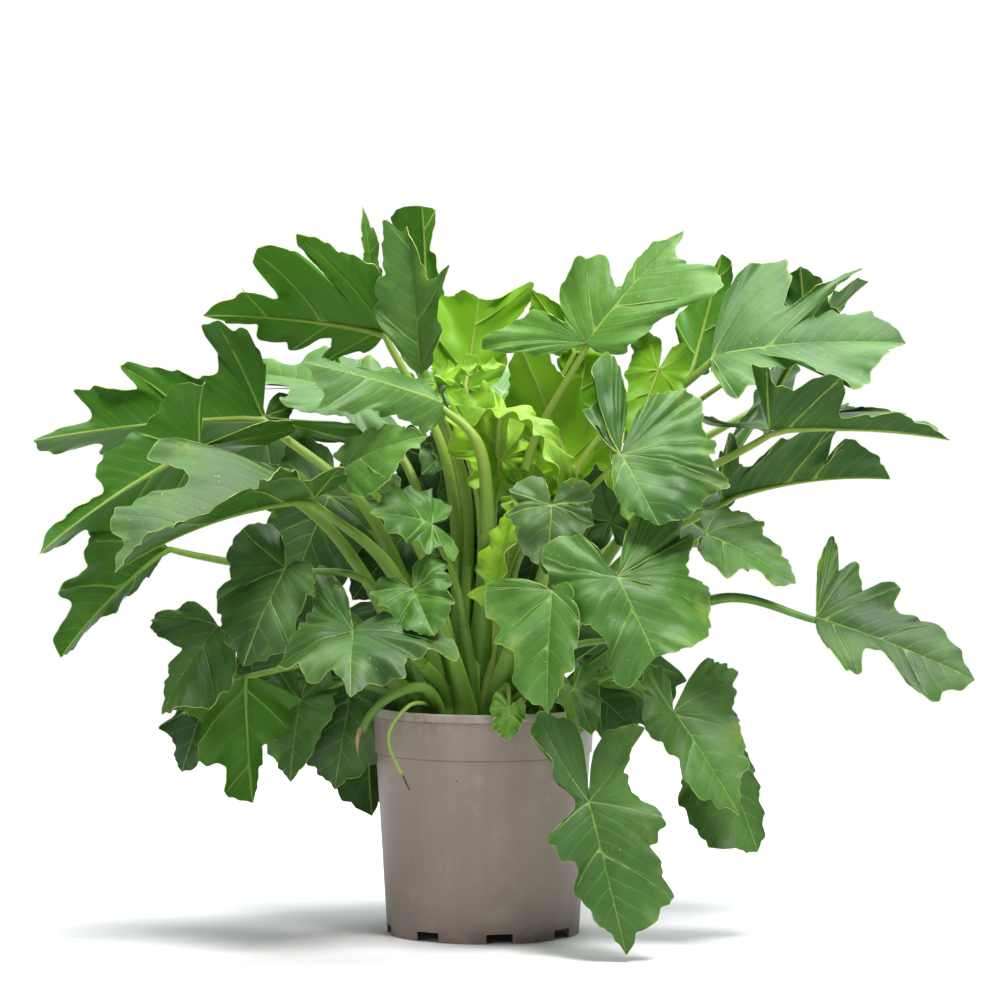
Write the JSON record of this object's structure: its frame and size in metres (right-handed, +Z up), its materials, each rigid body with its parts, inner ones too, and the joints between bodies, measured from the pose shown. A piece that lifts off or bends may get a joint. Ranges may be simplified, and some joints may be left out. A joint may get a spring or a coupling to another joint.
{
  "type": "potted lacy tree philodendron",
  "caption": "Bushy foliage plant with arching stalks and large lobed, wavy arrow-shaped leaves, rooted in soil in a plain round nursery pot.",
  "frame": {"origin": "middle of the underside of the pot, on the surface that it stands on", "axes": "+Z up, -Y towards the viewer of the picture, +X to the viewer's right, along the plant's greatest spread"},
  "size_m": [1.0403, 0.6856, 0.82],
  "materials": {
    "pot_plastic": "satin",
    "soil": "matte",
    "leaf": "satin",
    "young_leaf": "satin",
    "stem": "satin"
  },
  "bodies": {
    "root": {"pot": "pot_plastic", "soil": "soil", "cut_stem": "stem", "thin_runner": "stem", "front_broad": "leaf", "front_drop": "leaf", "front_left": "leaf", "left_dark": "leaf", "front_low": "leaf", "right_broad": "leaf", "right_hanging": "leaf", "far_right": "leaf", "left_light": "leaf", "left_under": "leaf", "left_high": "leaf", "top_left": "leaf", "top_fold": "leaf", "top_back": "leaf", "top_bright": "young_leaf", "top_right": "leaf", "right_pale": "leaf", "right_top": "leaf", "right_fold": "leaf", "right_side": "leaf", "right_back": "leaf", "right_lower": "leaf", "arch_left": "leaf", "pale_left": "leaf", "centre_small": "leaf", "centre_ears": "leaf", "low_left": "leaf", "low_left_back": "leaf", "low_left_inner": "leaf", "low_left_pot": "leaf", "left_outer": "leaf", "low_right_back": "leaf", "rim_crumpled": "young_leaf", "under_right": "leaf", "young_tall": "young_leaf", "young_curl": "young_leaf", "young_side": "young_leaf", "young_furled": "young_leaf", "dark_middle": "leaf", "dark_fold": "leaf", "bright_lobe": "young_leaf", "dark_inner": "leaf", "left_inner": "leaf", "young_back": "young_leaf", "back_broad": "leaf", "back_left": "leaf", "back_right": "leaf", "back_low": "leaf", "back_low_right": "leaf", "back_low_left": "leaf", "back_high": "leaf", "back_high_left": "leaf", "back_far": "leaf", "back_hanging": "leaf", "dark_left": "leaf", "dark_centre": "leaf"}
  },
  "joints": []
}
